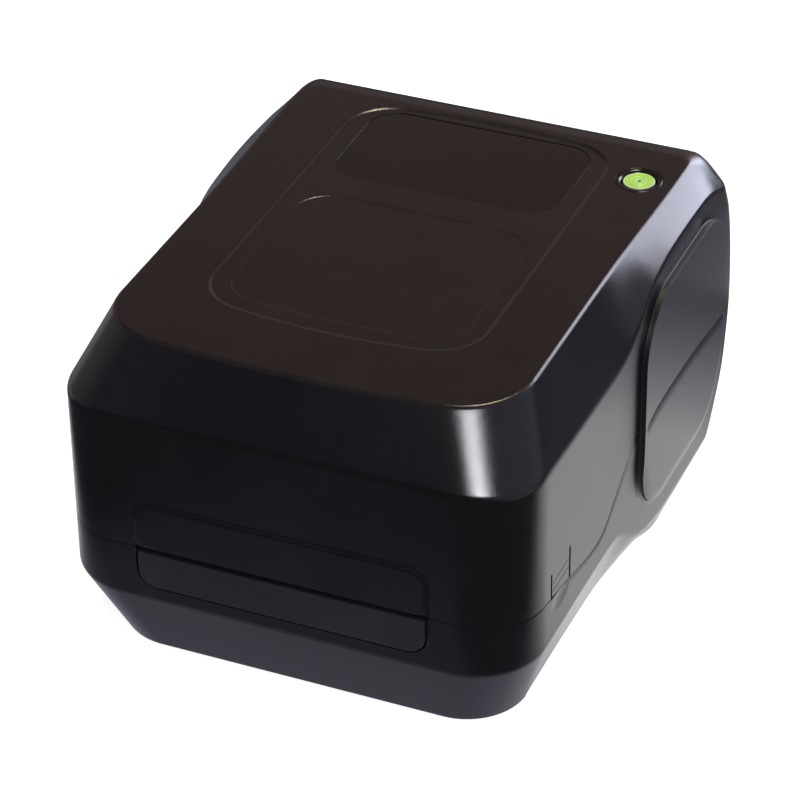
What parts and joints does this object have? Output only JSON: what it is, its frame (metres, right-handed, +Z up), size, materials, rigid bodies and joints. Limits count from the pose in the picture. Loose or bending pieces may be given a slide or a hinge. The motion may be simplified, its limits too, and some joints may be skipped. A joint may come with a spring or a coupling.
{
  "type": "thermal label printer",
  "caption": "Desktop clamshell thermal-transfer label printer with a hinged lid, smoked window, round feed button, front exit slot and rolled media bay.",
  "frame": {"origin": "on the floor plane under the middle of the printer's bounding box", "axes": "+Z up, -Y is the front with the label exit slot, +X is the side with the feed button"},
  "size_m": [0.23, 0.2864, 0.167],
  "materials": {
    "shell": "satin, fine moulded grain",
    "smoked_window": "smoked, polished",
    "button_green": "translucent, lit from inside",
    "bezel": "polished",
    "rubber": "matte",
    "platen_rubber": "ground matte",
    "steel": "ground",
    "zinc_sheet": "zinc plated sheet",
    "aluminium": "extruded",
    "ceramic": "glazed",
    "inner_plastic": "moulded grain",
    "holder_plastic": "moulded grain",
    "spindle_plastic": "moulded",
    "gear_plastic": "moulded acetal",
    "brass_part": "turned",
    "motor_black": "satin black",
    "motor_can": "drawn",
    "circuit_board": "solder mask",
    "sensor_plastic": "moulded",
    "port_metal": "nickel plated",
    "port_plastic": "moulded",
    "rocker_plastic": "moulded"
  },
  "bodies": {
    "base": {"base_shell": "shell", "rear_panel": "shell", "front_panel": "shell", "rubber_feet": "rubber", "media_tray": "inner_plastic", "platen_bracket_left": "zinc_sheet", "platen_bracket_right": "zinc_sheet", "platen_bushings": "brass_part", "drive_motor": "motor_black", "idler_stud": "steel", "main_board": "circuit_board", "io_board": "circuit_board", "power_board": "circuit_board", "usb_port": "port_metal", "network_port": "port_metal", "power_inlet": "port_plastic", "switch_body": "port_plastic", "hinge_bracket_left": "zinc_sheet", "hinge_bracket_right": "zinc_sheet", "hinge_pins": "steel", "rack_guide": "inner_plastic", "latch_catches": "inner_plastic", "sensor_rod": "steel", "base_screws": "steel"},
    "platen": {"platen_shaft": "steel", "platen_sleeve": "platen_rubber", "platen_gear": "gear_plastic"},
    "idler": {"idler_gear": "gear_plastic"},
    "motor_rotor": {"motor_pinion": "brass_part"},
    "holder_left": {"media_holder_left": "holder_plastic"},
    "holder_right": {"media_holder_right": "holder_plastic"},
    "hub_left": {"holder_hub_left": "holder_plastic"},
    "hub_right": {"holder_hub_right": "holder_plastic"},
    "rack_gear": {"rack_pinion": "gear_plastic"},
    "sensor": {"media_sensor": "sensor_plastic"},
    "rocker": {"power_rocker": "rocker_plastic"},
    "lid": {"top_cover": "shell", "lid_inner_frame": "inner_plastic", "window": "smoked_window", "button_bezel": "bezel", "button_board": "circuit_board", "ribbon_frame_left": "inner_plastic", "ribbon_frame_right": "inner_plastic", "head_pivot_shaft": "steel", "spring_beam": "zinc_sheet", "head_springs": "steel", "tear_bar": "steel", "ribbon_motor": "motor_can", "ribbon_motor_mount": "zinc_sheet", "lid_screws": "steel"},
    "button": {"feed_button": "button_green"},
    "latch_l": {"latch_left": "shell"},
    "latch_r": {"latch_right": "shell"},
    "print_head": {"head_bracket": "zinc_sheet", "heat_sink": "aluminium", "thermal_head": "ceramic"},
    "supply": {"supply_spindle": "spindle_plastic"},
    "takeup": {"takeup_spindle": "spindle_plastic", "takeup_gear": "gear_plastic"},
    "ribbon_rotor": {"ribbon_pinion": "brass_part"}
  },
  "joints": [
    {"name": "lid_hinge", "type": "hinge", "parent": "base", "child": "lid", "pos_m": [0, 0.133, 0.092], "axis": [-1, 0, 0], "range_deg": [0, 85]},
    {"name": "platen_spin", "type": "hinge", "parent": "base", "child": "platen", "pos_m": [0, -0.118, 0.0604], "axis": [1, 0, 0], "continuous": true},
    {"name": "idler_spin", "type": "hinge", "parent": "base", "child": "idler", "pos_m": [-0.0786, -0.09575, 0.05141], "axis": [1, 0, 0], "continuous": true},
    {"name": "motor_spin", "type": "hinge", "parent": "base", "child": "motor_rotor", "pos_m": [-0.076, -0.07347, 0.03581], "axis": [1, 0, 0], "continuous": true},
    {"name": "holder_left_slide", "type": "slide", "parent": "base", "child": "holder_left", "axis": [1, 0, 0], "range_m": [0, 0.046]},
    {"name": "holder_right_slide", "type": "slide", "parent": "base", "child": "holder_right", "axis": [-1, 0, 0], "range_m": [0, 0.046]},
    {"name": "rack_pinion_spin", "type": "hinge", "parent": "base", "child": "rack_gear", "pos_m": [0, 0.062, 0.0082], "axis": [0, 0, 1], "range_deg": [0, 412]},
    {"name": "hub_left_spin", "type": "hinge", "parent": "holder_left", "child": "hub_left", "pos_m": [-0.057, 0.062, 0.078], "axis": [1, 0, 0], "continuous": true},
    {"name": "hub_right_spin", "type": "hinge", "parent": "holder_right", "child": "hub_right", "pos_m": [0.057, 0.062, 0.078], "axis": [1, 0, 0], "continuous": true},
    {"name": "sensor_slide", "type": "slide", "parent": "base", "child": "sensor", "axis": [1, 0, 0], "range_m": [-0.046, 0.046]},
    {"name": "rocker_tilt", "type": "hinge", "parent": "base", "child": "rocker", "pos_m": [0.08, 0.1345, 0.0595], "axis": [1, 0, 0], "range_deg": [0, 16]},
    {"name": "feed_press", "type": "slide", "parent": "lid", "child": "button", "axis": [0, 0, -1], "range_m": [0, 0.0012], "stiffness_N_per_m": 1500, "springref_m": -0.0005},
    {"name": "latch_left_press", "type": "hinge", "parent": "lid", "child": "latch_l", "pos_m": [-0.11075, -0.093, 0.079], "axis": [0, -1, 0], "range_deg": [0, 7], "stiffness_Nm_per_rad": 2},
    {"name": "latch_right_press", "type": "hinge", "parent": "lid", "child": "latch_r", "pos_m": [0.11075, -0.093, 0.079], "axis": [0, 1, 0], "range_deg": [0, 7], "stiffness_Nm_per_rad": 2},
    {"name": "head_pivot", "type": "hinge", "parent": "lid", "child": "print_head", "pos_m": [0, -0.062, 0.09], "axis": [-1, 0, 0], "range_deg": [0, 3.5], "stiffness_Nm_per_rad": 8, "springref_deg": -2.86, "deforming": ["head_springs"]},
    {"name": "supply_spin", "type": "hinge", "parent": "lid", "child": "supply", "pos_m": [0, -0.024, 0.12], "axis": [1, 0, 0], "continuous": true},
    {"name": "takeup_spin", "type": "hinge", "parent": "lid", "child": "takeup", "pos_m": [0, -0.092, 0.12], "axis": [1, 0, 0], "continuous": true},
    {"name": "ribbon_motor_spin", "type": "hinge", "parent": "lid", "child": "ribbon_rotor", "pos_m": [0.074, -0.07055, 0.138], "axis": [1, 0, 0], "continuous": true}
  ],
  "couplings": [
    {"joint": "idler_spin", "follows": "platen_spin", "ratio": -2},
    {"joint": "motor_spin", "follows": "platen_spin", "ratio": 5.5556},
    {"joint": "holder_right_slide", "follows": "holder_left_slide", "ratio": 1},
    {"joint": "rack_pinion_spin", "follows": "holder_left_slide", "rad_per_m": 156.25},
    {"joint": "ribbon_motor_spin", "follows": "takeup_spin", "ratio": -3.6667}
  ]
}
